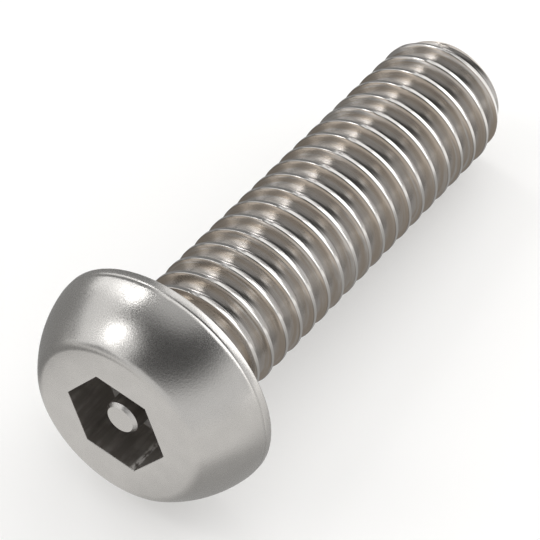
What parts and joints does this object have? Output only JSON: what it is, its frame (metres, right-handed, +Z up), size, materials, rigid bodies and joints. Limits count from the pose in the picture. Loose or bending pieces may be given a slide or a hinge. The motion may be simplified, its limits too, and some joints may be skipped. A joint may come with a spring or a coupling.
{
  "type": "button head screw",
  "caption": "Fully threaded machine screw with a low domed button head and a hexagon socket that has a security pin in its middle.",
  "frame": {"origin": "on the ground, under the middle of the screw as it lies on the rim of its head and the end of its thread", "axes": "+Y along the shank from the head to the tip, level, +Z up, +X across; the screw's own axis dips 6.4 degrees toward the tip"},
  "size_m": [0.0104, 0.0248, 0.0105],
  "materials": {
    "button_head_screw": "satin stainless steel"
  },
  "bodies": {
    "root": {"button_head_screw": "button_head_screw"}
  },
  "joints": []
}
